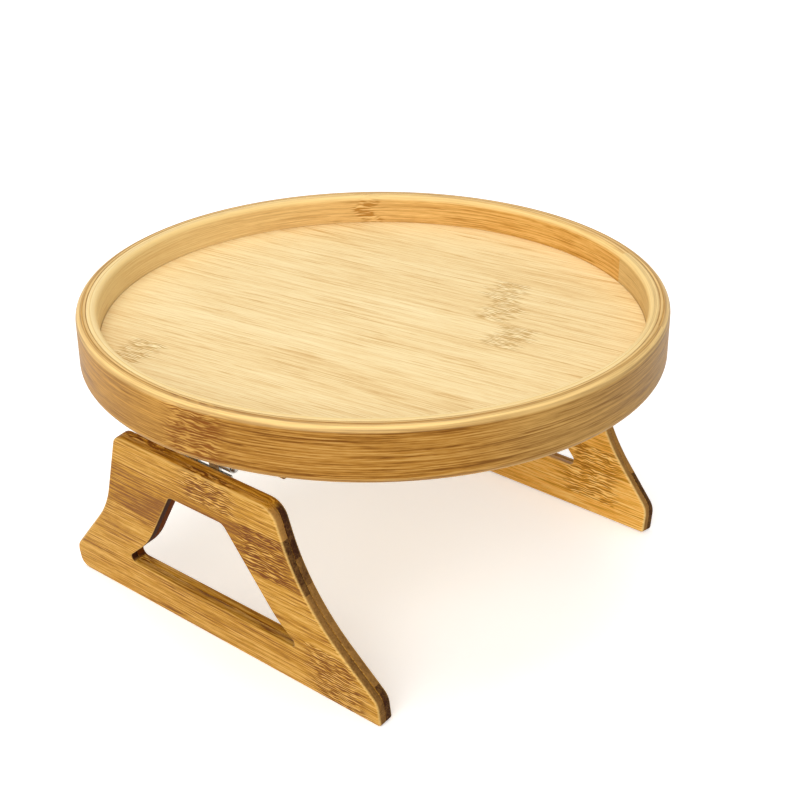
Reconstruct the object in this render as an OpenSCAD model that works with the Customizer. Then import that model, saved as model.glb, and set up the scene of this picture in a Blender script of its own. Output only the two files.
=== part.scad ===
// Round bamboo tray with two fold-down side wings that grip a sofa arm.
// Each wing hangs from one butt hinge under a batten, so it swings out for the
// arm and folds flat under the tray. Millimetres, +Z up. The origin lies under
// the tray's centre, level with the feet of the wings. Wings run along Y.

/* [Tray] */
// Outer radius of the hoop
hoop_r = 125; // [118:1:132]
// Height of the hoop
hoop_h = 24; // [21:1:28]
// Thickness of each of the hoop's two bent plies
hoop_ply = 4.5; // [4:0.5:5.5]
// Rounding of the hoop's outer edges
hoop_edge_r = 3; // [1.5:0.5:3.5]
// Rounding of the hoop's inner top edge
hoop_lip_r = 2.5; // [1:0.5:3.5]
// Thickness of the floor panel
floor_t = 7; // [5:0.5:8]
// Height of the floor's underside above the hoop's lower edge
floor_lift = 3.6; // [2:0.2:6]
// Depth of the groove that holds the floor's edge
groove_d = 3; // [2:0.5:3.5]
// Thickness of the tongue round the floor panel, which fills the groove
tongue_t = 4; // [3:0.5:4.5]
// Clearance between the floor's edge and the hoop
groove_gap = 0.2; // [0.1:0.05:0.4]

/* [Battens] */
// Distance of each batten's outer face from the centre
batten_out = 98; // [95:1:102]
// Width of a batten
batten_w = 20; // [18:1:26]
// Half the length of a batten
batten_half = 40; // [36:1:44]
// How far a batten reaches below the hoop
batten_drop = 11.8; // [9:0.2:16]
// Rounding of a batten's lower edges
batten_edge_r = 1.5; // [0.5:0.5:3]

/* [Wings] */
// Height of a wing along its board
wing_h = 89; // [85:0.5:92]
// Thickness of a wing's board, two plies
wing_t = 7.5; // [6.5:0.5:10]
// Inward lean of a wing from upright, in degrees
wing_lean = 8; // [4:1:12]
// Distance of the board's top edge below the hinge axis
wing_drop = 2; // [1.5:0.5:3]
// Length of the top edge in front of the middle
top_front = 44.5; // [42:0.5:47]
// Length of the top edge behind the middle
top_rear = 46.5; // [44:0.5:49]
// Length in front of the middle where the front side turns outward
front_waist = 69.5; // [66:0.5:72]
// Distance of that turn below the top edge
front_waist_down = 58.5; // [56:0.5:61]
// Length behind the middle where the rear side turns outward
rear_waist = 63.5; // [61:0.5:66]
// Distance of that turn below the top edge
rear_waist_down = 42.5; // [40:0.5:45]
// Length of the foot in front of the middle
foot_front = 87; // [84:1:90]
// Length of the foot behind the middle
foot_rear = 94; // [90:1:96]
// Height of the upright end of the foot
foot_h = 11.8; // [10:0.1:14]
// Rounding of the front top corner
top_front_r = 8; // [4:0.5:10]
// Rounding of the rear top corner
top_rear_r = 6; // [4:0.5:10]
// Radius of the hollow front side
front_waist_r = 30; // [25:1:50]
// Radius of the hollow rear side
rear_waist_r = 70; // [50:1:80]
// Rounding of the foot's shoulders
shoulder_r = 8; // [4:0.5:10]
// Rounding of the front toe's lower corner
front_toe_r = 1.6; // [1.5:0.1:4]
// Rounding of the rear toe's lower corner
rear_toe_r = 5; // [2:0.5:6]
// Rounding of the board's edges
wing_edge_r = 1.2; // [0.8:0.1:1.5]

/* [Wing windows] */
// Band of wood above the window
window_top_band = 20; // [18:0.1:24]
// Band of wood below the window
window_foot_band = 19.8; // [17:0.2:22]
// Length of the window's top side in front of the middle
window_top_front = 16; // [14:0.2:18]
// Length of the window's top side behind the middle
window_top_rear = 18; // [16:0.2:20]
// Length of the window's lower side in front of the middle
window_foot_front = 48; // [44:0.2:49]
// Length of the window's lower side behind the middle
window_foot_rear = 58; // [56:0.2:61]
// Length behind the middle where the window's rear side turns outward
window_waist = 39; // [37:0.2:41]
// Distance of that turn below the wing's top edge
window_waist_down = 52.5; // [50:0.5:55]
// Radius of the window's hollow rear side
window_waist_r = 60; // [40:1:70]
// Rounding of the window's top corners
window_top_r = 3.5; // [2:0.5:5]
// Rounding of the window's lower corners
window_foot_r = 2.5; // [1.5:0.5:3]

/* [Hinges] */
// Half the length of a hinge
hinge_half = 15; // [12:1:18]
// Number of knuckles in a hinge
knuckles = 5; // [3:2:5]
// Thickness of a leaf
leaf_t = 1.2; // [0.8:0.1:1.5]
// Width of a leaf from the pin's axis to its free edge
leaf_w = 16; // [14:0.5:17]
// Radius of the pin
pin_r = 1.5; // [1.2:0.1:1.6]
// Outer radius of a knuckle
knuckle_r = 2.7; // [2.5:0.1:2.8]
// Running clearance of the pin in the knuckles
pin_gap = 0.05; // [0.03:0.01:0.08]
// Clearance between parts that turn past each other
turn_gap = 0.3; // [0.25:0.05:0.4]
// Distance of the pin's axis outside the batten's face
pin_out = 0.8; // [0.5:0.1:1.2]
// Radius of the pin's domed heads
pin_head_r = 2.2; // [1.9:0.1:2.5]
// Height of the pin's domed heads
pin_head_h = 1; // [0.6:0.1:1.4]

/* [Screws] */
// Shank radius of the leaf screws
leaf_screw_r = 1.4; // [1.1:0.1:1.6]
// Head radius of the leaf screws
leaf_head_r = 2.7; // [2.4:0.1:2.9]
// Distance of a leaf's outer screws from its middle, as a share of the hinge's half length
screw_row_share = 0.62; // [0.5:0.02:0.7]
// Distance of a leaf's outer screws from the pin's axis, as a share of the leaf's width
outer_screw_share = 0.5; // [0.44:0.02:0.54]
// Distance of a leaf's middle screw from the pin's axis, as a share of the leaf's width
middle_screw_share = 0.72; // [0.66:0.02:0.76]
// Length of the screws that hold a leaf to a wing
wing_screw_l = 6; // [4:0.5:6.5]
// Length of the screws that hold a leaf to a batten
batten_leaf_screw_l = 11; // [8:1:12]
// Shank radius of the batten screws
batten_screw_r = 1.75; // [1.4:0.05:2.1]
// Head radius of the batten screws
batten_head_r = 3.6; // [3:0.1:4]
// How far the batten screws reach into the floor panel
batten_screw_bite = 4.5; // [3:0.5:4.5]
// Distance of a batten screw from the batten's end
batten_screw_end = 10; // [8:0.5:12]
// Clearance round a screw in its hole
screw_gap = 0.1; // [0.05:0.05:0.15]
// Width of a screw head's cross slot
slot_w = 0.7; // [0.5:0.1:0.9]

/* [Hidden] */
$fn = 48;
BAMBOO = "burlywood";
BAMBOO_DARK = "peru";
STEEL = "silver";
ROUND_FN = 180;

// Heights, built up from the feet, which stand at zero
wing_off = knuckle_r + turn_gap;
board_end = wing_drop + wing_h;
axis_z = (board_end - wing_edge_r) * cos(wing_lean)
    + (wing_off + wing_t - wing_edge_r) * sin(wing_lean) + wing_edge_r;
axis_x = batten_out + pin_out;
batten_bottom = axis_z + wing_off;
hoop_bottom = batten_bottom + batten_drop;
floor_bottom = hoop_bottom + floor_lift;
hoop_inner_r = hoop_r - 2 * hoop_ply;
floor_r = hoop_inner_r - groove_gap;
groove_r = hoop_inner_r + groove_d;
groove_bottom = floor_bottom + (floor_t - tongue_t) / 2;
batten_h = floor_bottom - batten_bottom;
window_foot_down = wing_h - window_foot_band;
shoulder_down = wing_h - foot_h;
knuckle_pitch = 2 * hinge_half / knuckles;
LEAF_SCREW_Y = [for (k = [-1, 0, 1]) k * hinge_half * screw_row_share];

// Shape of a screw's point and cross slot, as shares of its radii and head height
point_len_share = 1.4;
point_end_share = 0.2;
slot_len_share = 1.2;
slot_deep_share = 0.45;
// Shape of a pin head's dome, as shares of its height and radius
dome_foot_share = 0.4;
dome_top_share = 0.6;

// Long arcs get more steps than the rounded corners
LONG_ARC_R = 20;
LONG_ARC_STEPS = 7;
CORNER_STEPS = 4;
EDGE_TURNS = [0, 30, 60, 90];
// Least radius that a rounded corner keeps when the outline is drawn in
LEAST_R = 0.1;
over = 1;
tiny = 0.01;

// Each corner is [along Y, height below the top edge, rounding]
WING_CORNERS = [
    [top_rear, 0, top_rear_r],
    [-top_front, 0, top_front_r],
    [-front_waist, front_waist_down, front_waist_r],
    [-foot_front, shoulder_down, shoulder_r],
    [-foot_front, wing_h, front_toe_r],
    [foot_rear, wing_h, rear_toe_r],
    [foot_rear, shoulder_down, shoulder_r],
    [rear_waist, rear_waist_down, rear_waist_r]];
WINDOW_CORNERS = [
    [window_top_rear, window_top_band, window_top_r],
    [-window_top_front, window_top_band, window_top_r],
    [-window_foot_front, window_foot_down, window_foot_r],
    [window_foot_rear, window_foot_down, window_foot_r],
    [window_waist, window_waist_down, window_waist_r]];

// Outline with rounded corners, drawn in by a distance on every side.
// The corners run anticlockwise as seen from outside, with height counted downward.
function unit(v) = v / norm(v);
function inward(v) = [-v[1], v[0]];
function flat(c) = [c[0], -c[1]];
function arc_steps(r) = r > LONG_ARC_R ? LONG_ARC_STEPS : CORNER_STEPS;
function corner_arc(before, here, after, r, inset) =
    let (n1 = inward(unit(here - before)), n2 = inward(unit(after - here)),
        bend = (n1 + n2) / (1 + n1 * n2),
        turn = n1[0] * n2[1] - n1[1] * n2[0],
        side = turn > 0 ? 1 : -1,
        round = max(r - side * inset, LEAST_R),
        centre = here + bend * (inset + side * round),
        from = atan2(-side * n1[1], -side * n1[0]),
        sweep = atan2(turn, n1 * n2), steps = arc_steps(r))
    [for (k = [0 : steps]) centre + round
        * [cos(from + sweep * k / steps), sin(from + sweep * k / steps)]];
function outline(corners, inset) =
    let (n = len(corners))
    [for (i = [0 : n - 1]) each corner_arc(flat(corners[(i + n - 1) % n]), flat(corners[i]),
        flat(corners[(i + 1) % n]), corners[i][2], inset)];

// Solid whose outline is stacked at [distance out, inset] levels
module stacked(corners, levels) {
    rings = [for (l = levels) [for (p = outline(corners, l[1])) [l[0], p[0], p[1]]]];
    count = len(rings[0]);
    last = len(levels) - 1;
    walls = [for (j = [0 : last - 1]) for (i = [0 : count - 1])
        let (a = j * count + i, b = j * count + (i + 1) % count)
        each [[a, b + count, b], [a, a + count, b + count]]];
    polyhedron([for (r = rings) each r], concat(
        [[for (i = [0 : count - 1]) i]], walls,
        [[for (i = [count - 1 : -1 : 0]) last * count + i]]), convexity = 6);
}

// Levels of a ply from the glue line to its face, whose edge is rounded by a sign
function ply_levels(sign) = [for (a = EDGE_TURNS)
    [wing_t / 2 - wing_edge_r * (1 - sin(a)), sign * wing_edge_r * (1 - cos(a))]];

// One ply, with the glue line at zero and its face on the +X side
module ply() {
    difference() {
        stacked(WING_CORNERS, concat([[0, 0]], ply_levels(1)));
        stacked(WINDOW_CORNERS, concat([[-over, 0]], ply_levels(-1),
            [[wing_t / 2 + over, -wing_edge_r]]));
    }
}

// Puts a part on its side of the tray: 1 is right, -1 is left
module on_side(side) {
    mirror([side < 0 ? 1 : 0, 0, 0])
        children();
}

// Frame of a wing at rest: the hinge axis is the origin, +X points outward and
// +Z up along the board
module wing_frame() {
    translate([axis_x, 0, axis_z])
        rotate([0, wing_lean, 0])
            children();
}

module hoop_edge(r_in, r_out) {
    intersection() {
        translate([r_in, hoop_bottom])
            square([r_out - r_in, hoop_h]);
        children();
    }
}

module rim_outer_ply() {
    rounded_in = hoop_r - hoop_edge_r;
    color(BAMBOO_DARK)
        rotate_extrude($fn = ROUND_FN)
            hoop_edge(hoop_r - hoop_ply, hoop_r)
                union() {
                    translate([0, hoop_bottom])
                        square([rounded_in, hoop_h]);
                    translate([0, hoop_bottom + hoop_edge_r])
                        square([hoop_r, hoop_h - 2 * hoop_edge_r]);
                    for (z = [hoop_edge_r, hoop_h - hoop_edge_r])
                        translate([rounded_in, hoop_bottom + z])
                            circle(hoop_edge_r);
                }
}

module rim_inner_ply() {
    rounded_out = hoop_inner_r + hoop_lip_r;
    color(BAMBOO)
        rotate_extrude($fn = ROUND_FN)
            difference() {
                hoop_edge(hoop_inner_r, hoop_r - hoop_ply)
                    union() {
                        translate([rounded_out, hoop_bottom])
                            square([hoop_ply, hoop_h]);
                        translate([hoop_inner_r, hoop_bottom])
                            square([hoop_ply, hoop_h - hoop_lip_r]);
                        translate([rounded_out, hoop_bottom + hoop_h - hoop_lip_r])
                            circle(hoop_lip_r);
                    }
                translate([0, groove_bottom])
                    square([groove_r, tongue_t]);
            }
}

module floor_panel() {
    color(BAMBOO)
        difference() {
            union() {
                translate([0, 0, floor_bottom])
                    cylinder(r = floor_r, h = floor_t, $fn = ROUND_FN);
                translate([0, 0, groove_bottom])
                    cylinder(r = groove_r - groove_gap, h = tongue_t, $fn = ROUND_FN);
            }
            for (side = [-1, 1])
                on_side(side)
                    batten_screw_places()
                        cylinder(r = batten_screw_r + screw_gap,
                            h = batten_h + batten_screw_bite + screw_gap);
        }
}

// Places of the two screws that rise through a batten, at its lower face
module batten_screw_places() {
    for (y = [-1, 1])
        translate([batten_out - batten_w / 2, y * (batten_half - batten_screw_end), batten_bottom])
            children();
}

// Distance from the pin's axis of a leaf screw, numbered -1, 0 and 1 along the leaf
function leaf_screw_s(k) = leaf_w * (k == 0 ? middle_screw_share : outer_screw_share);

// Places of the three screws that rise through the fixed leaf, at its lower face
module fixed_leaf_places() {
    for (k = [-1, 0, 1])
        translate([axis_x - leaf_screw_s(k), LEAF_SCREW_Y[k + 1], batten_bottom - leaf_t])
            children();
}

// Places of the three screws that pass outward through the moving leaf
module moving_leaf_places() {
    for (k = [-1, 0, 1])
        translate([wing_off - leaf_t, LEAF_SCREW_Y[k + 1], -leaf_screw_s(k)])
            rotate([0, 90, 0])
                children();
}

// Flat head at the origin that narrows into a pointed shank, pointing up
module screw(head_r, shank_r, length) {
    head_h = head_r - shank_r;
    point_h = shank_r * point_len_share;
    slot_len = head_r * slot_len_share;
    difference() {
        union() {
            cylinder(r1 = head_r, r2 = shank_r, h = head_h);
            translate([0, 0, head_h - tiny])
                cylinder(r = shank_r, h = length - head_h - point_h + tiny);
            translate([0, 0, length - point_h])
                cylinder(r1 = shank_r, r2 = shank_r * point_end_share, h = point_h);
        }
        for (turn = [0, 90])
            rotate([0, 0, turn])
                translate([-slot_len / 2, -slot_w / 2, -over])
                    cube([slot_len, slot_w, over + head_h * slot_deep_share]);
    }
}

// Hole for a flat-headed screw, wider than the screw by the clearance
module screw_hole(head_r, shank_r, length) {
    head_h = head_r - shank_r;
    translate([0, 0, -over])
        cylinder(r = shank_r + screw_gap, h = length + over + screw_gap);
    cylinder(r1 = head_r + screw_gap, r2 = shank_r + screw_gap, h = head_h);
    translate([0, 0, -over])
        cylinder(r = head_r + screw_gap, h = over + tiny);
}

module leaf_hole(length) {
    screw_hole(leaf_head_r, leaf_screw_r, length);
}

module batten() {
    edge_in = batten_out - batten_w;
    color(BAMBOO_DARK)
        difference() {
            translate([0, batten_half, 0])
                rotate([90, 0, 0])
                    linear_extrude(2 * batten_half) {
                        translate([edge_in, batten_bottom + batten_edge_r])
                            square([batten_w, batten_h - batten_edge_r]);
                        translate([edge_in + batten_edge_r, batten_bottom])
                            square([batten_w - 2 * batten_edge_r, batten_edge_r + tiny]);
                        for (x = [edge_in + batten_edge_r, batten_out - batten_edge_r])
                            translate([x, batten_bottom + batten_edge_r])
                                circle(batten_edge_r);
                    }
            batten_screw_places()
                screw_hole(batten_head_r, batten_screw_r, batten_h + over);
            fixed_leaf_places()
                leaf_hole(batten_leaf_screw_l);
        }
}

module batten_screws() {
    color(STEEL)
        batten_screw_places()
            screw(batten_head_r, batten_screw_r, batten_h + batten_screw_bite);
}

// Knuckles of one leaf: 0 takes the outer ones, 1 those between them
module knuckle_row(odd) {
    for (k = [odd : 2 : knuckles - 1])
        translate([0, -hinge_half + k * knuckle_pitch + turn_gap / 2, 0])
            rotate([-90, 0, 0])
                cylinder(r = knuckle_r, h = knuckle_pitch - turn_gap);
}

// Leaf with its axis at the origin, lying toward +X with its seat at z = wing_off
module leaf(odd) {
    color(STEEL)
        difference() {
            union() {
                knuckle_row(odd);
                translate([wing_off, -hinge_half + turn_gap / 2, wing_off - leaf_t])
                    cube([leaf_w - wing_off, 2 * hinge_half - turn_gap, leaf_t]);
                for (k = [odd : 2 : knuckles - 1])
                    translate([0, -hinge_half + k * knuckle_pitch + turn_gap / 2, wing_off - leaf_t])
                        cube([wing_off + tiny, knuckle_pitch - turn_gap, leaf_t]);
            }
            translate([0, hinge_half + over, 0])
                rotate([90, 0, 0])
                    cylinder(r = pin_r + pin_gap, h = 2 * (hinge_half + over));
            for (k = [-1, 0, 1])
                translate([leaf_screw_s(k), LEAF_SCREW_Y[k + 1], wing_off - leaf_t])
                    leaf_hole(leaf_t + over);
        }
}

module fixed_leaf() {
    translate([axis_x, 0, axis_z])
        mirror([1, 0, 0])
            leaf(0);
}

// The moving leaf seats on the wing's inner face and hangs down the board
module moving_leaf() {
    wing_frame()
        rotate([0, 90, 0])
            leaf(1);
}

module hinge_pin() {
    reach = hinge_half + turn_gap / 2;
    dome_foot_h = pin_head_h * dome_foot_share;
    color(STEEL)
        translate([axis_x, 0, axis_z])
            rotate([90, 0, 0]) {
                cylinder(r = pin_r, h = 2 * reach, center = true);
                for (end = [0, 1])
                    mirror([0, 0, end])
                        translate([0, 0, reach - tiny]) {
                            cylinder(r = pin_head_r, h = dome_foot_h);
                            translate([0, 0, dome_foot_h - tiny])
                                cylinder(r1 = pin_head_r, r2 = pin_head_r * dome_top_share,
                                    h = pin_head_h - dome_foot_h);
                        }
            }
}

module wing_outer_ply() {
    color(BAMBOO)
        wing_frame()
            difference() {
                translate([wing_off + wing_t / 2, 0, -wing_drop])
                    ply();
                moving_leaf_places()
                    leaf_hole(wing_screw_l);
            }
}

module wing_inner_ply() {
    color(BAMBOO_DARK)
        wing_frame()
            difference() {
                translate([wing_off + wing_t / 2, 0, -wing_drop])
                    mirror([1, 0, 0])
                        ply();
                moving_leaf_places()
                    leaf_hole(wing_screw_l);
            }
}

module fixed_leaf_screws() {
    color(STEEL)
        fixed_leaf_places()
            screw(leaf_head_r, leaf_screw_r, batten_leaf_screw_l);
}

module moving_leaf_screws() {
    color(STEEL)
        wing_frame()
            moving_leaf_places()
                screw(leaf_head_r, leaf_screw_r, wing_screw_l);
}

rim_outer_ply();
rim_inner_ply();
floor_panel();
on_side(-1) batten();  // batten_left
on_side(1) batten();  // batten_right
on_side(-1) batten_screws();  // batten_screws_left
on_side(1) batten_screws();  // batten_screws_right
on_side(-1) wing_outer_ply();  // wing_left_outer_ply
on_side(-1) wing_inner_ply();  // wing_left_inner_ply
on_side(1) wing_outer_ply();  // wing_right_outer_ply
on_side(1) wing_inner_ply();  // wing_right_inner_ply
on_side(-1) fixed_leaf();  // hinge_left_fixed_leaf
on_side(-1) moving_leaf();  // hinge_left_moving_leaf
on_side(-1) hinge_pin();  // hinge_left_pin
on_side(1) fixed_leaf();  // hinge_right_fixed_leaf
on_side(1) moving_leaf();  // hinge_right_moving_leaf
on_side(1) hinge_pin();  // hinge_right_pin
on_side(-1) fixed_leaf_screws();  // fixed_leaf_screws_left
on_side(1) fixed_leaf_screws();  // fixed_leaf_screws_right
on_side(-1) moving_leaf_screws();  // moving_leaf_screws_left
on_side(1) moving_leaf_screws();  // moving_leaf_screws_right
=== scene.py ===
# %% [markdown]
# A sofa arm tray: a round bamboo tray held over the arm by two hinged side wings.
# The CAD frame already has every size and joint, so this lesson starts from it,
# redraws the pieces whose edges a maker eases by hand, and gives each piece its
# finish.

# %% Load the frame
import math

import bpy
from mathutils import Matrix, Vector
from mathutils.geometry import tessellate_polygon


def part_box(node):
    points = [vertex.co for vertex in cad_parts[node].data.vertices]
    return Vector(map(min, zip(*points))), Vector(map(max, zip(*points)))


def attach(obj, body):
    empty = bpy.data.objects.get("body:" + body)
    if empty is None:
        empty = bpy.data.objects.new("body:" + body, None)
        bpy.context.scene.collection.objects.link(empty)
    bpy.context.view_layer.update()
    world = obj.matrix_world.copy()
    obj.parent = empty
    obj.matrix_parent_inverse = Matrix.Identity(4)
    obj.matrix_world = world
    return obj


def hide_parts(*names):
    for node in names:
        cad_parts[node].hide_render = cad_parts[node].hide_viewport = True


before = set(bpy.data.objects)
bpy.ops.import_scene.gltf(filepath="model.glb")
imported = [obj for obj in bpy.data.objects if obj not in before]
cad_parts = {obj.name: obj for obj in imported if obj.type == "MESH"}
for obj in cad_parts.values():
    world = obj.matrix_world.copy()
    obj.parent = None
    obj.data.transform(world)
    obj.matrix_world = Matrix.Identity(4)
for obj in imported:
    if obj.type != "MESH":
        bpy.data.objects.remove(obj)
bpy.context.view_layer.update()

MM = 0.001
print("pieces in the frame:", len(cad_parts))

# %% [markdown]
# Colours are easiest to name as a paint chart does, from 0 to 255. A shader works
# on linear light, so each chart colour is turned into that form once, here.

# %% Chart colours
def paint(red, green, blue):
    """A chart colour in the linear form that a shader takes."""
    def linear(part):
        part /= 255
        return part / 12.92 if part <= 0.04045 else ((part + 0.055) / 1.055) ** 2.4
    return (linear(red), linear(green), linear(blue), 1.0)


print("white card:", [round(c, 2) for c in paint(250, 250, 250)])

# %% [markdown]
# A wood finish is mostly arithmetic: this much darker along a fibre, that much
# lighter on an edge. It could be wired by hand, node by node, but sums are easier
# to read as sums. So a socket is wrapped in a small class whose operators add the
# Math nodes.

# %% Values that add their own Math nodes
class Value:
    """A socket of a finish. Plain arithmetic on it adds Math nodes."""

    def __init__(self, finish, socket):
        self.finish, self.socket = finish, socket

    def maths(self, operation, first, second=0.0):
        return self.finish.node("Math", {"operation": operation}, {0: first, 1: second})

    def __add__(self, other):
        return self.maths("ADD", self, other)

    def __radd__(self, other):
        return self.maths("ADD", other, self)

    def __sub__(self, other):
        return self.maths("SUBTRACT", self, other)

    def __rsub__(self, other):
        return self.maths("SUBTRACT", other, self)

    def __mul__(self, other):
        return self.maths("MULTIPLY", self, other)

    def __rmul__(self, other):
        return self.maths("MULTIPLY", other, self)

    def __truediv__(self, other):
        return self.maths("DIVIDE", self, other)

    def __rtruediv__(self, other):
        return self.maths("DIVIDE", other, self)

    def __abs__(self):
        return self.maths("ABSOLUTE", self)

    def sine(self):
        return self.maths("SINE", self)

    def root(self):
        return self.maths("SQRT", self)

    def angle_over(self, ahead):
        """The angle of a point this far aside and that far ahead."""
        return self.maths("ARCTAN2", self, ahead)


# %% [markdown]
# Every finish is one material with one Principled shader. Numbers that are the
# same all over the piece are set on the shader's own sockets. Anything that
# changes over the surface comes from nodes, and one method makes them all.

# %% One finish, one way to add a node
class Finish:
    """A material, its shader, and the method that adds any other node."""

    def __init__(self, name, **fixed):
        self.material = bpy.data.materials.new(name)
        self.material.use_nodes = True
        self.tree = self.material.node_tree
        self.shader = self.tree.nodes["Principled BSDF"]
        for socket, number in fixed.items():
            self.shader.inputs[socket.replace("_", " ")].default_value = number

    def node(self, kind, settings=None, inputs=None, out=0):
        made = self.tree.nodes.new("ShaderNode" + kind)
        for name, setting in (settings or {}).items():
            if name == "stops":
                self.set_stops(made.color_ramp, setting)
            elif name == "blend":
                made.color_ramp.interpolation = setting
            else:
                setattr(made, name, setting)
        for key, number in (inputs or {}).items():
            if isinstance(number, Value):
                self.tree.links.new(number.socket, made.inputs[key])
            else:
                made.inputs[key].default_value = number
        return Value(self, made.outputs[out])

    @staticmethod
    def set_stops(ramp, stops):
        ramp.elements.remove(ramp.elements[1])
        for i, (place, colour) in enumerate(stops):
            stop = ramp.elements[0] if i == 0 else ramp.elements.new(place)
            stop.position, stop.color = place, colour

    def feed(self, socket, value):
        self.tree.links.new(value.socket, self.shader.inputs[socket])

    def between(self, value, low, high):
        """0 below low, 1 above high, and a smooth rise between them."""
        return self.node("MapRange", {"interpolation_type": "SMOOTHSTEP"},
                         {0: value, 1: low, 2: high})

    def blend(self, share, first, second):
        """A colour between two others."""
        return self.node("Mix", {"data_type": "RGBA"}, {0: share, 6: first, 7: second}, out=2)

    def own_place(self):
        """The piece's own x, y and z in metres, which stay with it when it moves."""
        place = self.node("TexCoord", out="Object")
        return [self.node("SeparateXYZ", {}, {0: place}, out=i) for i in range(3)]


print("finish helpers are ready")

# %% [markdown]
# Bamboo has no rings or rays. It is a bundle of straight fibres with a joint every
# 25 to 35 cm, where they cross and darken. A picture of it would only suit one
# face, so the fibres here are solid: noise that is long along the grain and thin
# across it. A face cut along the grain then shows lines, and a cut end shows dots.

# %% Fibres
def fibres(fin, grain, length, width, detail=2.0, shift=0.0):
    """Noise with that fibre length and width in mm, about 0.5 on average. A shift
    along the fibres keeps two noises of a finish from falling together."""
    along, across, through = grain
    place = fin.node("CombineXYZ", {}, {0: along / (length * MM) + shift,
                                        1: across / (width * MM), 2: through / (width * MM)})
    return fin.node("TexNoise", {}, {"Vector": place, "Scale": 1.0, "Detail": detail,
                                     "Roughness": 0.6})


# %% [markdown]
# The boards are glued up from strips about 20 mm wide. Each strip is a little
# lighter or darker than the next, and has its joint somewhere else. A ramp with
# constant steps is a neat table for that: place across the board in, the strip's
# own number out.

# %% A number for each glued strip
LAST_STRIP = 30  # the last strip of a board is at most this wide, in mm


def by_strip(fin, across, numbers):
    """Steps from [(place in mm, number from 0 to 1), ...] in order of place."""
    first = numbers[0][0]
    span = numbers[-1][0] - first + LAST_STRIP
    stops = [((place - first) / span, (n, n, n, 1)) for place, n in numbers]
    return fin.node("ValToRGB", {"blend": "CONSTANT", "stops": stops},
                    {0: (across / MM - first) / span})


REACH = 450  # a joint's place along the grain is within this many mm
AWAY = 400  # the place of a joint that is off the piece
GLUE_HALF, GLUE_DARK = 0.15, 0.2  # half the width of a glue line in mm, and its tone


def strip_tables(strips):
    """Tables of tones with glue lines, of joints and of cut ends, from the rows
    (start in mm, tone, joint in mm, tone of the cut end)."""
    tones, joints, cuts = [], [], []
    for i, (start, tone, joint, cut) in enumerate(strips):
        if i:
            tones.append((start - GLUE_HALF, max(tone - GLUE_DARK, 0)))
        tones.append((start + GLUE_HALF, tone))
        joints.append((start, (joint + REACH) / (2 * REACH)))
        cuts.append((start, cut))
    return tones, joints, cuts


print("strip tables are ready")

# %% [markdown]
# A joint of the cane is a band, some 2 cm long, where short dark fibres cross it
# side by side. It could be drawn as one dark smear, but close up it is the dashes
# that make it bamboo. So one mask says where the band is, with a ragged edge. Inside
# it, a swaying comb of lines and a noise together say where a dash is.

# %% Joints of the cane
# All in mm
BAND_WANDER, STRAND_SWAY = 16, 3
COMB_PITCH, COMB_TILT = 1.2, 0.7  # the tilt is a share, as the comb goes through the wood
DASH_LONG, DASH_WIDE = 6, 0.7


def joint_of(fin, grain, joints, half):
    """Masks of a joint's band, its dark dashes and the pale fibres between them."""
    along, across, through = grain
    wander = (fibres(fin, grain, 300, 2.6, 1.0, 5.0) - 0.5) * (BAND_WANDER * MM)
    sway = (fibres(fin, grain, 8, 7, 1.0, 9.0) - 0.5) * (STRAND_SWAY * MM)
    comb = (across + sway + through * COMB_TILT) * (2 * math.pi / (COMB_PITCH * MM))
    middle = by_strip(fin, across, joints) * (2 * REACH * MM) - REACH * MM
    band = 1 - fin.between(abs(along - middle + wander) / (half * MM), 0.45, 1.0)
    place = fin.node("CombineXYZ", {}, {0: along / (DASH_LONG * MM),
                                        1: (across + sway) / (DASH_WIDE * MM),
                                        2: through / (DASH_WIDE * MM)})
    dashes = fin.node("TexNoise", {}, {"Vector": place, "Scale": 1.0, "Detail": 1.0,
                                       "Distortion": 0.4})
    lined = dashes + comb.sine() * 0.1
    return band, band * fin.between(lined, 0.47, 0.58), band * fin.between(lined, 0.47, 0.36)


# %% [markdown]
# One recipe serves every bamboo piece. It adds up a tone from strips, bundles,
# threads and dark lines, and a ramp of that piece's own colours turns the tone into
# wood. Cut ends drink more lacquer, so each strip's end has a tone of its own, and
# eased edges are sanded back to pale wood, which also paints a highlight on them.
# The walls of a wing's window take painted shade, and zones of painted light and
# shade turn the hoop's wood to other colours.

# %% Bamboo
# How far each part of the wood moves its tone, on a piece of full contrast
BUNDLES, THREADS, SPECKS, LINES = 0.4, 0.56, 0.6, 0.42
CLOUD, PALE, BAND = 0.3, 0.42, 0.08
SCORCH = 0.82  # how dark a joint's dashes are
PORES, STAIN = 0.45, 0.35  # how uneven a cut end is
MATT_END = 0.35  # how much rougher a cut end is
GLUE_THIN, GLUE_SWAY = 0.16, 0.5  # a seam between plies, in mm


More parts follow.
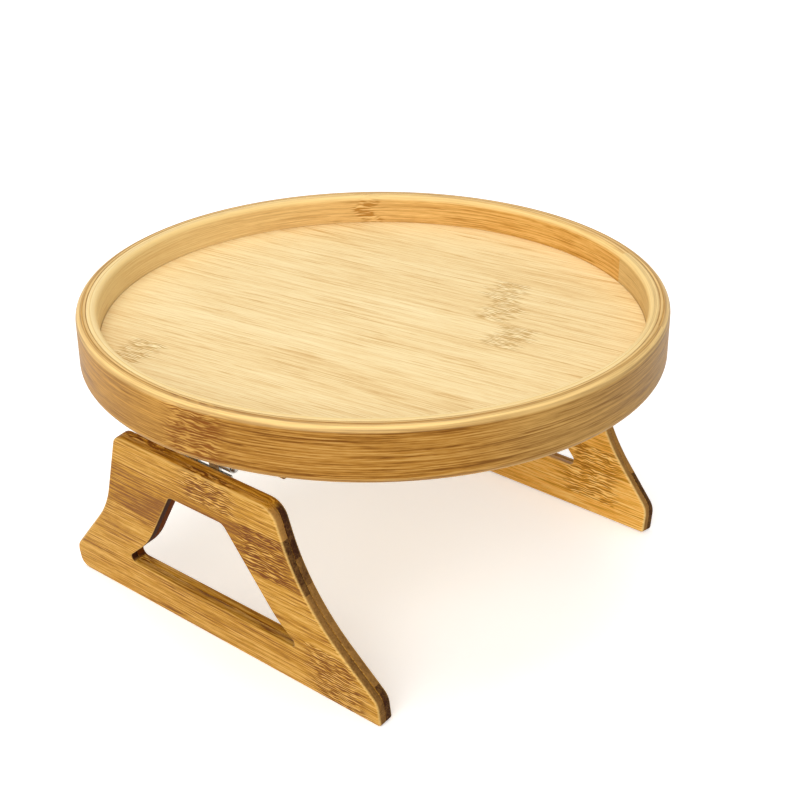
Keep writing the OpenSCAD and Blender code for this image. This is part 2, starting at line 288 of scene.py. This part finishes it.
def bamboo(name, grain_of, strips, colours, contrast=1.0, joint_half=12, ends=None,
           seams=(), light_and_shade_zones=(), rough=0.48):
    """colours: darkest brown (for joints, seams and the painted shade on window walls),
    dark lines, ground, pale fibres, sanded edge with painted highlight. ends: the darkest
    and palest cut end, or None where no end shows. seams: depths in mm of thin dark
    lines, the glue lines among them. light_and_shade_zones: (from, to, dark, light),
    where along the grain, in mm, painted light and shade turn the wood to another pair
    of colours."""
    fin = Finish(name, Specular_IOR_Level=0.12, Coat_Weight=0.02, Coat_Roughness=0.3)
    grain = grain_of(fin)
    tones, joints, cuts = strip_tables(strips)
    strip = by_strip(fin, grain[1], tones)
    band, dashes, pale = joint_of(fin, grain, joints, joint_half)

    bundles = fibres(fin, grain, 70, 2.2, 2.0)
    threads = fin.between(fibres(fin, grain, 28, 0.6, 2.0, 7.0), 0.32, 0.68)
    specks = fibres(fin, grain, 5, 0.42, 1.0, 13.0)
    cloud = fibres(fin, grain, 80, 18, 1.0, 3.0)
    ridge = abs(fibres(fin, grain, 60, 1.5, 1.0, 21.0) - 0.5)
    lines = ((1 - fin.between(ridge, 0.0, 0.07))
             * fin.between(fibres(fin, grain, 45, 4, 1.0, 31.0), 0.5, 0.6))

    tone = (strip + (bundles - 0.5) * (BUNDLES * contrast)
            + (threads - 0.5) * (THREADS * contrast) + (specks - 0.5) * (SPECKS * contrast)
            + (cloud - 0.5) * CLOUD - lines * (LINES * contrast) + pale * PALE - band * BAND)
    darkest_brown, dark, ground, light, sanded_highlight = colours
    wood = fin.node("ValToRGB", {"blend": "LINEAR", "stops": [(0.1, dark), (0.5, ground),
                                                           (0.9, light)]}, {0: tone})
    # Zones of painted light and shade, where the wood turns to another pair of colours.
    for start, end, low, high in light_and_shade_zones:
        wood = fin.blend(fin.between(grain[0], start * MM, end * MM), wood,
                         fin.blend(tone, low, high))
    wood = fin.blend(dashes * SCORCH, wood, darkest_brown)

    matt = 0.0
    if ends:
        # Painted shade on the walls of a wing's window: their cut ends take the darkest cut
        # tone and then turn toward the darkest brown.
        window_shade = fin.node("Attribute", {"attribute_name": "sawn_window"}, out="Fac")
        normal = fin.node("TexCoord", out="Normal")
        facing = abs(fin.node("SeparateXYZ", {}, {0: normal}, out=1))
        end_grain = fin.between(facing, 0.35, 0.75)
        pores = (fibres(fin, grain, 30, 0.7, 1.0, 17.0) - 0.5) * PORES
        stain = (fibres(fin, grain, 30, 4, 1.0, 19.0) - 0.5) * STAIN
        unshaded_wall = 1 - fin.between(window_shade, 0, 0.25)
        cut = (by_strip(fin, grain[1], cuts) + pores + stain) * unshaded_wall
        wood = fin.blend(end_grain, wood, fin.blend(cut, *ends))
        wood = fin.blend(window_shade * window_shade * 0.85, wood, darkest_brown)
        matt = end_grain * MATT_END
    # Painted highlight, with sanded wear: eased edges and the rim's level top turn toward the
    # pale sanded colour and get a little smoother.
    wear_and_highlight = fin.node("Attribute", {"attribute_name": "eased_edge"}, out="Fac")
    wood = fin.blend(wear_and_highlight * (0.85 + (threads - 0.5) * 0.4), wood, sanded_highlight)
    for depth in seams:
        off_seam = grain[2] - depth * MM + (bundles - 0.5) * (GLUE_SWAY * MM)
        gap = abs(off_seam) / (GLUE_THIN * MM)
        wood = fin.blend((1 - fin.between(gap, 0.3, 1.8)) * (cloud * 0.6), wood, darkest_brown)
    fin.feed("Base Color", wood)

    height = bundles * 0.4 + threads * 0.14 - lines * 0.3 - dashes * 0.6 + pale * 0.3
    fin.feed("Normal", fin.node("Bump", {}, {"Strength": 0.4, "Distance": 0.25 * MM,
                                             "Height": height}))
    fin.feed("Roughness", rough + (threads - 0.5) * 0.1 + dashes * 0.1 - wear_and_highlight * 0.06 + matt)
    print("mixed", name, "with", len(fin.tree.nodes), "nodes")
    return fin.material


# %% [markdown]
# The floor of the tray is raw pale bamboo. Its strips run nearly front to back, a
# few degrees off, as the panel happened to sit when the hoop was closed round it.
# Most strips show no joint, because a joint every 30 cm often misses a 23 cm
# panel, so those strips have theirs outside it.

# %% Floor panel
GRAIN_X, GRAIN_Y = 0.166, -0.986


def floor_grain(fin):
    x, y, z = fin.own_place()
    return x * GRAIN_X + y * GRAIN_Y, x * -GRAIN_Y + y * GRAIN_X, z


FLOOR_STRIPS = [(-130, 0.48, -AWAY, 0), (-90, 0.55, -67, 0), (-68, 0.5, AWAY, 0),
                (-46, 0.6, -AWAY, 0), (-23, 0.54, AWAY, 0), (0, 0.58, 60, 0),
                (22, 0.5, 44, 0), (43, 0.56, 36, 0), (64, 0.48, -AWAY, 0),
                (86, 0.54, AWAY, 0)]
straw = (paint(198, 156, 90), paint(216, 172, 106), paint(244, 214, 155),
         paint(255, 236, 186), paint(250, 224, 172))
floor_finish = bamboo("pale_floor_bamboo", floor_grain, FLOOR_STRIPS, straw, contrast=0.6,
                      joint_half=11, rough=0.5)

# %% [markdown]
# A CAD piece whose shape is right keeps it. It only takes the finish, on every
# material slot that it came with.

# %% Dress a CAD piece
def dress(piece, material):
    """Gives the piece that finish, on every material slot."""
    if not piece.data.materials:
        piece.data.materials.append(material)
    for i in range(len(piece.data.materials)):
        piece.data.materials[i] = material
    print("dressed", piece.name)


dress(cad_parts["floor_panel"], floor_finish)

# %% [markdown]
# The hoop is two plies of bamboo, steamed and bent round a former, one inside the
# other. The CAD rings could stay, but the real edges are eased ply by ply, with a
# fine groove at the glue line, and that groove draws the line round the rim. So
# each ply's section is drawn again, in mm, and spun round the middle. A point of it
# has a distance from the middle, a height above the hoop's foot, and a share of
# sanded wear and painted highlight.

# %% Sections of the hoop's plies
HOOP_LO, HOOP_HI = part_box("rim_outer_ply")
FOOT = HOOP_LO.z / MM
TALL = (HOOP_HI.z - HOOP_LO.z) / MM
OUTER, GLUE, INNER = 125.0, 120.5, 116.0  # radii of the hoop and its glue line
EDGE, LIP, GROOVE = 3, 2.5, 0.3  # roundings: outer edges, inner lip, groove at the glue
BEVEL = 0.35  # how far the plies part at the foot of the glue line
SLOT_FOOT, SLOT_TOP, SLOT_END = 5.1, 9.1, 119  # the slot that holds the floor's tongue
TOP_WEAR_AND_LIGHT = 0.85  # wear and painted light on the rim's level top


def corner(centre, radius, start, end, steps=8, wear_and_highlight=1.0):
    """Points of a rounded corner, with sanded wear and painted highlight strongest at its
    middle.
    """
    points = []
    for k in range(steps + 1):
        a = math.radians(start + (end - start) * k / steps)
        points.append((centre[0] + radius * math.cos(a), centre[1] + radius * math.sin(a),
                       wear_and_highlight * math.sin(math.pi * k / steps)))
    return points


outer_section = ([(GLUE, BEVEL, 0), (GLUE + BEVEL, 0, 0), (OUTER - 3.2, 0, 0)]
                 + corner((OUTER - EDGE, EDGE), EDGE, -90, 0, wear_and_highlight=0.3)
                 + [(OUTER, EDGE + 0.4, 0), (OUTER, 12, 0), (OUTER, TALL - EDGE - 0.4, 0)]
                 + corner((OUTER - EDGE, TALL - EDGE), EDGE, 0, 90)
                 + [(GLUE + 1.1, TALL, TOP_WEAR_AND_LIGHT), (GLUE + 0.5, TALL, TOP_WEAR_AND_LIGHT)]
                 + corner((GLUE + GROOVE, TALL - GROOVE), GROOVE, 90, 180, 4, 0.6)
                 + [(GLUE, 12, 0)])
inner_section = ([(INNER, 0.4, 0), (INNER + 0.4, 0, 0), (GLUE - BEVEL, 0, 0),
                  (GLUE, BEVEL, 0), (GLUE, 12, 0)]
                 + corner((GLUE - GROOVE, TALL - GROOVE), GROOVE, 0, 90, 4, 0.6)
                 + [(GLUE - 1.1, TALL, TOP_WEAR_AND_LIGHT), (GLUE - 1.7, TALL, TOP_WEAR_AND_LIGHT)]
                 + corner((INNER + LIP, TALL - LIP), LIP, 90, 180)
                 + [(INNER, TALL - LIP - 0.4, 0), (INNER, 14, 0), (INNER, SLOT_TOP + 0.3, 0),
                    (INNER, SLOT_TOP, 0), (SLOT_END, SLOT_TOP, 0), (SLOT_END, SLOT_FOOT, 0),
                    (INNER, SLOT_FOOT, 0), (INNER, SLOT_FOOT - 0.3, 0)])
print("points in the sections:", len(outer_section), len(inner_section))

# %% [markdown]
# A mesh is a list of points and a list of faces. The extras here are numbers at each
# point: how far an edge is eased tells the finish where sandpaper has been and a
# highlight is painted, and on the wings another marks the walls of the window, where
# shade is painted.

# %% A piece from points and faces
def piece_of(name, points, faces, marks):
    """A new piece. marks: numbers at each point, by the name that the finish reads."""
    mesh = bpy.data.meshes.new(name)
    mesh.from_pydata(points, [], faces)
    for label, numbers in marks.items():
        mesh.attributes.new(label, "FLOAT", "POINT").data.foreach_set("value", numbers)
    mesh.update()
    mesh.shade_smooth()
    piece = bpy.data.objects.new(name, mesh)
    bpy.context.scene.collection.objects.link(piece)
    print(name, len(points), "points", len(faces), "faces")
    return piece


# %% [markdown]
# Spinning a section makes the ring. The turns are many, so that the rim looks
# round close up, and the last turn joins the first, so there is no seam in it.

# %% Spin the plies
TURNS = 360


def bent_ply(name, section):
    """A ring with that section, given as (radius, height, wear and painted highlight) in mm.
    """
    points, wear_and_highlight = [], []
    for t in range(TURNS):
        a = 2 * math.pi * t / TURNS
        for r, z, w in section:
            points.append((r * MM * math.cos(a), r * MM * math.sin(a), (FOOT + z) * MM))
            wear_and_highlight.append(w)
    n = len(section)
    faces = [(t * n + i, (t + 1) % TURNS * n + i, (t + 1) % TURNS * n + (i + 1) % n,
              t * n + (i + 1) % n) for t in range(TURNS) for i in range(n)]
    return piece_of(name, points, faces, {"eased_edge": wear_and_highlight})


hoop_outer = bent_ply("hoop_outer_ply", outer_section)
hoop_inner = bent_ply("hoop_inner_ply", inner_section)

# %% [markdown]
# On a bent ply the fibres run round the hoop. Its grain is measured as length
# along the bend, height and distance from the middle. That length starts and stops
# at the turn where the ply's two ends lap, so the fibres break off there, as they
# do on a real hoop.

# %% Finish of the hoop
BEND = 120  # the radius in mm at which length round the hoop is measured


def bent_grain(lap):
    """Grain of a ply whose ends lap at that angle, in degrees."""
    turn = math.radians(lap - 180)

    def grain(fin):
        x, y, z = fin.own_place()
        ahead = x * math.cos(turn) + y * math.sin(turn)
        aside = y * math.cos(turn) - x * math.sin(turn)
        radius = (ahead * ahead + aside * aside).root()
        return aside.angle_over(ahead) * (BEND * MM), z - FOOT * MM, radius
    return grain


# Where the plies lap and where their joints are, in degrees round the hoop
OUTER_LAP, OUTER_JOINT, INNER_LAP, INNER_JOINT = -68, -171, -30, 43
outer_joint = math.radians(OUTER_JOINT - OUTER_LAP + 180) * BEND
inner_joint = math.radians(INNER_JOINT - INNER_LAP - 180) * BEND
amber = (paint(120, 62, 2), paint(114, 66, 2), paint(165, 113, 39), paint(194, 146, 74),
         paint(244, 206, 135))
honey = (paint(174, 120, 44), paint(176, 122, 42), paint(218, 166, 86), paint(240, 196, 120),
         paint(248, 214, 144))
# Painted light and shade in zones round the hoop: from and to in mm, and the dark and light
# colours there
greyer = (255, 300, paint(140, 96, 36), paint(206, 160, 86))
yellower = (190, 130, paint(140, 92, 22), paint(205, 152, 70))
paler = (-330, -30, paint(232, 198, 136), paint(255, 234, 176))
duller = (250, 310, paint(194, 156, 92), paint(236, 203, 138))
outer_finish = bamboo("bent_outer_bamboo", bent_grain(OUTER_LAP),
                      [(-10, 0.5, outer_joint, 0)], amber, joint_half=17,
                      seams=(GLUE, 122.9, 124.65), light_and_shade_zones=(greyer, yellower), rough=0.45)
inner_finish = bamboo("bent_inner_bamboo", bent_grain(INNER_LAP),
                      [(-10, 0.5, inner_joint, 0)], honey, contrast=0.8, joint_half=7,
                      seams=(118.9, GLUE), light_and_shade_zones=(paler, duller), rough=0.45)
for piece, node, finish in ((hoop_outer, "rim_outer_ply", outer_finish),
                            (hoop_inner, "rim_inner_ply", inner_finish)):
    dress(piece, finish)
    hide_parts(node)
    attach(piece, "tray")

# %% [markdown]
# Each wing is a board of two plies, cut to a bell shape with a window in it. Its
# outline is a list of corners with a rounding each. Both sides are hollow, the
# front one in a longer curve, and both wings are cut from the same pattern.

# %% Outline of a wing
# Along the grain, height below the top edge, rounding, all in mm
WING_CORNERS = [(46.5, 0, 6), (-44.5, 0, 8), (-52, 41, 90), (-87, 77.2, 8),
                (-87, 89, 1.6), (94, 89, 5), (94, 77.2, 8), (63.5, 42.5, 70)]
WINDOW_CORNERS = [(18, 20, 3.5), (-13.4, 20, 3.5), (-36, 58, 40), (-48, 69.2, 2.5),
                  (58, 69.2, 2.5), (39, 52.5, 60)]
LONG_CURVE = 20  # a rounding above this many mm takes more points
SHARPEST = 0.1  # the least rounding, in mm


def outline(corners, inset):
    """Points round the outline, drawn in by a distance. Each corner is an arc that
    touches the two sides next to it."""
    points = []
    spots = [(y, -down, r) for y, down, r in corners]
    for i, (y, z, r) in enumerate(spots):
        before, after = spots[i - 1], spots[(i + 1) % len(spots)]
        normals = []
        for (y1, z1, _), (y2, z2, _) in ((before, (y, z, r)), ((y, z, r), after)):
            long = math.hypot(y2 - y1, z2 - z1)
            normals.append(((z1 - z2) / long, (y2 - y1) / long))
        (a1, b1), (a2, b2) = normals
        dot, turn = a1 * a2 + b1 * b2, a1 * b2 - b1 * a2
        side = 1 if turn > 0 else -1
        radius = max(r - side * inset, SHARPEST)
        reach = (inset + side * radius) / (1 + dot)
        centre = (y + (a1 + a2) * reach, z + (b1 + b2) * reach)
        start, sweep = math.atan2(-side * b1, -side * a1), math.atan2(turn, dot)
        steps = 16 if r > LONG_CURVE else 8
        points += [(centre[0] + radius * math.cos(start + sweep * k / steps),
                    centre[1] + radius * math.sin(start + sweep * k / steps))
                   for k in range(steps + 1)]
    return points


print("points in a wing's outline:", len(outline(WING_CORNERS, 0)))

# %% [markdown]
# A wing hangs from its hinge and leans 8 degrees inward at the foot. It could be
# made upright and turned into place, but a turned piece turns its grain with it, and
# plain sums keep the mesh and the grain in step. So each point is reckoned from the
# hinge axis, out and up, and leaned with the board.

# %% Where a wing stands
PLY = 3.75  # thickness of a ply, in mm like all that follows
HINGE_X, HINGE_Z = 98.8, 91.4204  # the hinge axis, out from the middle and up
SET_OUT, DROP = 3.0, 2.0  # from the axis out to the board's face and down to its top edge
LEAN = math.radians(8)


def leaned(side, out, along, up):
    """A point of a wing, from its distances out from and up from the hinge axis."""
    return (side * (HINGE_X + out * math.cos(LEAN) + up * math.sin(LEAN)) * MM, along * MM,
            (HINGE_Z + up * math.cos(LEAN) - out * math.sin(LEAN)) * MM)


print("a wing leans by", round(math.degrees(LEAN)), "degrees")

# %% [markdown]
# A ply is two stacks of outlines, round the wing and round its window. The first
# outline sits at the glue line, a hair inside, which leaves the fine groove between
# the plies. The next ones climb the straight edge and roll over the rounding on to
# the face. Triangles fill the flat sides between the stacks. The walls of the window
# take painted shade, most on the inner ply and less on the sill.

# %% Build the plies of the wings
PARTED = 0.3  # how far the plies part at the glue line
SILL = -68  # below this a window's wall is its sill
EDGES = ((WING_CORNERS, 1, 1.2, 0.9), (WINDOW_CORNERS, -1, 0.6, 0.5))  # way, easing, wear and painted highlight


def levels(ease, edge_highlight_share):
    """Rise from the glue line, inset, and wear and painted highlight of each outline, for an
    edge eased so far.
    """
    stack = [(0, PARTED, 0), (PARTED, 0, 0), (PLY - ease - 0.4, 0, 0)]
    for degrees in range(0, 91, 15):
        a = math.radians(degrees)
        stack.append((PLY - ease * (1 - math.sin(a)), ease * (1 - math.cos(a)),
                      edge_highlight_share * math.sin(2 * a) ** 3))
    return stack + [(PLY, ease + 0.7, 0)]


def filled(points, loops, facing_out):
    """Triangles between those loops of points, turned to face out or in."""
    order = [i for loop in loops for i in loop]
    faces = []
    for triangle in tessellate_polygon([[(points[i][1], points[i][2], 0) for i in loop]
                                        for loop in loops]):
        a, b, c = (order[i] for i in triangle)
        (ay, az), (by, bz), (cy, cz) = (points[i][1:] for i in (a, b, c))
        turned_out = (by - ay) * (cz - az) - (bz - az) * (cy - ay) > 0
        faces.append((a, b, c) if turned_out == facing_out else (a, c, b))
    return faces


def wing_ply(name, side, outward):
    """side -1 is left. outward is 1 for the ply that faces out, -1 for the one facing in."""
    points, wear_and_highlight, window_shade_marks, faces, rims = [], [], [], [], []
    wall_shade = 0.3 if outward > 0 else 1.0
    for corners, way, ease, edge_highlight_share in EDGES:
        first, count = len(points), len(outline(corners, 0))
        stack = levels(ease, edge_highlight_share)
        for rise, inset, worn_and_highlit in stack:
            for y, z in outline(corners, way * inset):
                points.append(leaned(side, SET_OUT + PLY + outward * rise, y, z - DROP))
                wear_and_highlight.append(worn_and_highlit)
                # Painted shade marks the window's walls, half as much on the sill.
                wall = way < 0 and rise < PLY - ease / 2
                window_shade_marks.append((wall_shade * 0.5 if z < SILL else wall_shade) if wall else 0.0)
        for base in range(first, first + (len(stack) - 1) * count, count):
            for i in range(count):
                j = (i + 1) % count
                quad = (base + i, base + j, base + count + j, base + count + i)
                faces.append(quad if side * outward * way > 0 else quad[::-1])
        rims.append((first, count))
    outer_face = side * outward > 0
    for level, facing_out in ((0, not outer_face), (len(stack) - 1, outer_face)):
        loops = [range(first + level * count, first + (level + 1) * count)
                 for first, count in rims]
        faces += filled(points, loops, facing_out)
    return piece_of(name, points, faces, {"eased_edge": wear_and_highlight, "sawn_window": window_shade_marks})


print("outlines in a ply's edge:", len(levels(1, 0)))

# %% [markdown]
# The plies are glued up from strips, and here every strip counts, because the
# joints in them are the marks that one sees first. Each table lists a strip's
# start below the hinge, its tone, where its joint lies along the board, and the tone
# of its cut end.

# %% Finish of the wings
def board_grain(side):
    """Grain of a leaned board: along it, down from the hinge axis, and through it."""
    def grain(fin):
        x, y, z = fin.own_place()
        out, up = x * side - HINGE_X * MM, z - HINGE_Z * MM
        return (y, 0 - out * math.sin(LEAN) - up * math.cos(LEAN),
                out * math.cos(LEAN) - up * math.sin(LEAN))
    return grain


WING_STRIPS = {
    "left_outer": [(0, 0.48, -8, 0.62), (16.5, 0.31, -36, 0.14), (40, 0.53, AWAY, 0.42),
                   (64, 0.57, -65, 0.32)],
    "left_inner": [(0, 0.36, 30, 0.02), (26, 0.52, -150, 0.22), (37, 0.46, 12, 0.4),
                   (56, 0.56, 60, 0.36), (74.5, 0.42, AWAY, 0.06)],
    "right_outer": [(0, 0.5, 24, 0.6), (18, 0.56, AWAY, 0.2), (42, 0.44, -50, 0.6),
                    (66, 0.52, 42, 0.1)],
    "right_inner": [(0, 0.5, 20, 0.6), (12, 0.42, AWAY, 0.25), (36, 0.5, 55, 0.6),
                    (58, 0.52, -55, 0.55), (84, 0.5, AWAY, 0.5)],
}
caramel = (paint(104, 48, 0), paint(128, 74, 0), paint(189, 134, 36), paint(222, 174, 92),
           paint(228, 184, 106))
lit_caramel = (paint(156, 98, 14), paint(188, 130, 34), paint(240, 176, 76),
                paint(254, 214, 130), paint(250, 214, 140))
cut_ends = (paint(54, 24, 6), paint(206, 152, 78))
for label, strips in WING_STRIPS.items():
    hand, face = label.split("_")
    side = -1 if hand == "left" else 1
    ply = wing_ply(f"{hand}_wing_{face}_ply", side, 1 if face == "outer" else -1)
    # The right wing's inner ply takes a lighter copy of the caramel colours: painted light on
    # a face that the tray shades.
    colours = lit_caramel if label == "right_inner" else caramel
    dress(ply, bamboo(f"{hand}_wing_{face}_bamboo", board_grain(side), strips, colours,
                      joint_half=19, ends=cut_ends))
    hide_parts(f"wing_{hand}_{face}_ply")
    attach(ply, "wing_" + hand)

# %% [markdown]
# Two short battens under the tray carry the hinges. They are plain lengths of the
# same bamboo, so the CAD pieces stay and take a darker mix of the recipe.

# %% Battens
def batten_grain(fin):
    x, y, z = fin.own_place()
    return y, x, z


umber = (paint(104, 62, 6), paint(124, 82, 10), paint(182, 130, 48), paint(214, 166, 88),
         paint(230, 188, 112))
BATTEN_STRIPS = [(-110, 0.5, 18, 0.3), (0, 0.5, -22, 0.3)]
batten_finish = bamboo("batten_bamboo", batten_grain, BATTEN_STRIPS, umber, joint_half=9,
                       ends=cut_ends)
for hand in ("left", "right"):
    dress(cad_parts["batten_" + hand], batten_finish)

# %% [markdown]
# The hinges are stamped from sheet steel and brushed along their length. Brushing
# leaves fine scratches, so the finish is a metal whose roughness and bump come
# from noise drawn out along the hinge. Screws are turned, so theirs runs in rings.

# %% Steel
DULLED = 0.78  # the brushed lines' share of the metal's own colour


def steel(name, colour, stretch, rough):
    """stretch: length of the scratches along x, y and z, in mm."""
    fin = Finish(name, Metallic=1.0)
    x, y, z = fin.own_place()
    place = fin.node("CombineXYZ", {}, {i: part / (long * MM) for i, (part, long)
                                        in enumerate(zip((x, y, z), stretch))})
    brushed = fin.node("TexNoise", {}, {"Vector": place, "Scale": 1.0, "Detail": 3.0})
    smudge = fin.node("TexNoise", {}, {"Vector": fin.node("TexCoord", out="Object"),
                                       "Scale": 90.0, "Detail": 2.0})
    dull = tuple(c * DULLED for c in colour[:3]) + (1.0,)
    fin.feed("Base Color", fin.blend(fin.between(brushed, 0.3, 0.7), dull, colour))
    fin.feed("Roughness", rough + (brushed - 0.5) * 0.3 + (smudge - 0.5) * 0.2)
    fin.feed("Normal", fin.node("Bump", {}, {"Strength": 0.2, "Distance": 0.05 * MM,
                                             "Height": brushed}))
    print("mixed", name)
    return fin.material


leaf_steel = steel("brushed_leaf_steel", paint(196, 195, 190), (0.25, 12, 0.25), 0.34)
pin_steel = steel("drawn_pin_steel", paint(188, 187, 184), (0.4, 6, 0.4), 0.28)
screw_steel = steel("turned_screw_steel", paint(180, 178, 172), (0.8, 0.8, 0.15), 0.36)
for hand in ("left", "right"):
    for part, metal, record_slot in (
            (f"hinge_{hand}_fixed_leaf", leaf_steel, "hinge_steel"),
            (f"hinge_{hand}_moving_leaf", leaf_steel, "hinge_steel"),
            (f"hinge_{hand}_pin", pin_steel, "hinge_steel"),
            (f"batten_screws_{hand}", screw_steel, "screw_steel"),
            (f"fixed_leaf_screws_{hand}", screw_steel, "screw_steel"),
            (f"moving_leaf_screws_{hand}", screw_steel, "screw_steel")):
        dress(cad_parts[part], metal)

# %% [markdown]
# The tray is photographed on white. The floor is a big pale card that takes the
# tray's shadow. A little glow that only the camera and mirrors see brings the card
# to white, so that no extra light falls on the bamboo. Far from the lamps the card
# gets darker, so the glow is stronger there.

# %% Studio floor
card = Finish("white_card", Roughness=0.9, Emission_Strength=1.0)
speckle = card.node("TexNoise", {}, {"Vector": card.node("TexCoord", out="Object"),
                                     "Scale": 60.0, "Detail": 2.0})
card.feed("Base Color", card.blend(speckle, paint(246, 246, 245), paint(250, 250, 250)))
seen = (card.node("LightPath", out="Is Camera Ray")
        + card.node("LightPath", out="Is Glossy Ray"))
east, north, _ = card.own_place()
far = card.between(east * east + north * north, 0.8, 4.0)
NO_GLOW, NEAR_GLOW, FAR_GLOW = (0, 0, 0, 1), (0.42, 0.42, 0.42, 1), (0.7, 0.7, 0.7, 1)
card.feed("Emission Color", card.blend(seen, NO_GLOW, card.blend(far, NEAR_GLOW, FAR_GLOW)))
bpy.ops.mesh.primitive_plane_add(size=16, location=(0, 0, 0))
studio_floor = bpy.context.object
studio_floor.name = "studio_floor"
studio_floor.data.materials.append(card.material)
print("floor is", round(studio_floor.dimensions.x), "m wide")

# %% [markdown]
# The light is a bright room with one large soft lamp up on the left and a weaker
# one above. Together they are set so that a level surface shows its colour about
# as mixed, and the front of the hoop falls a little into shade. The room lights
# the tray with a third of white, but the camera and mirrors see it as white. Its
# few nodes come from the same method as those of a finish.

# %% Room light
ROOM_LIGHT = 0.36  # strength with which the room lights the tray


class Room(Finish):
    """The world's nodes, which take the same method as a finish."""

    def __init__(self, name):
        self.material = bpy.data.worlds.new(name)
        self.material.use_nodes = True
        self.tree = self.material.node_tree
        self.shader = self.tree.nodes["Background"]
        self.shader.inputs["Color"].default_value = (1, 1, 1, 1)


room = Room("pale_room")
seen = (room.node("LightPath", out="Is Camera Ray")
        + room.node("LightPath", out="Is Glossy Ray"))
room.feed("Strength", room.node("MapRange", {}, {0: seen, 3: ROOM_LIGHT, 4: 1.0}))
bpy.context.scene.world = room.material
print("the room lights at", ROOM_LIGHT, "and shows white")

# %% [markdown]
# A square lamp throws soft shadows, the softer the larger it is. It shines along its
# own -Z axis, so its matrix is worked out from where it is and what it points at.

# %% Lamps
def looking(place, aim):
    """A matrix at that place whose -Z axis points at aim."""
    back = [p - a for p, a in zip(place, aim)]
    long = math.sqrt(sum(part * part for part in back))
    bx, by, bz = (part / long for part in back)
    level = math.hypot(bx, by)
    rx, ry = -by / level, bx / level
    columns = ((rx, ry, 0.0), (-bz * ry, bz * rx, bx * ry - by * rx), (bx, by, bz), place)
    return Matrix([[column[i] for column in columns] for i in range(3)] + [[0, 0, 0, 1]])


def soft_lamp(name, power, size, place, aim):
    """A square lamp: power in watts, its side in metres, where it is and where it points."""
    lamp = bpy.data.lights.new(name, "AREA")
    lamp.energy, lamp.size = power, size
    holder = bpy.data.objects.new(name, lamp)
    bpy.context.scene.collection.objects.link(holder)
    holder.matrix_world = looking(place, aim)
    print(name, power, "W")


soft_lamp("window_lamp", 13, 1.2, (-1.35, -0.7, 1.15), (0, 0, 0.1))
soft_lamp("ceiling_lamp", 18, 1.6, (0.1, 0.3, 1.9), (0, 0, 0.1))
soft_lamp("low_card", 8, 0.9, (-1.5, -0.4, 0.35), (0, 0, 0.08))

# %% [markdown]
# The camera stands where the photographer's did: in front, to the left and above,
# with a long lens. Its three axes were measured once and are written down here.

# %% Camera
RIGHT, DOWN, AHEAD = ((0.6522, -0.75803, -0.00569), (-0.34803, -0.29275, -0.8906),
                      (0.67343, 0.58283, -0.45475))
STAND = (-0.46136, -0.41381, 0.39349)
LENS, SENSOR = 71.1, 36  # in mm
view = bpy.data.cameras.new("photo_view")
view.lens, view.sensor_width = LENS, SENSOR
camera = bpy.data.objects.new("photo_view", view)
bpy.context.scene.collection.objects.link(camera)
camera.matrix_world = Matrix([[RIGHT[i], -DOWN[i], -AHEAD[i], STAND[i]] for i in range(3)]
                             + [[0, 0, 0, 1]])
bpy.context.scene.camera = camera
bpy.context.scene.view_settings.view_transform = "Standard"
print("camera at", STAND)
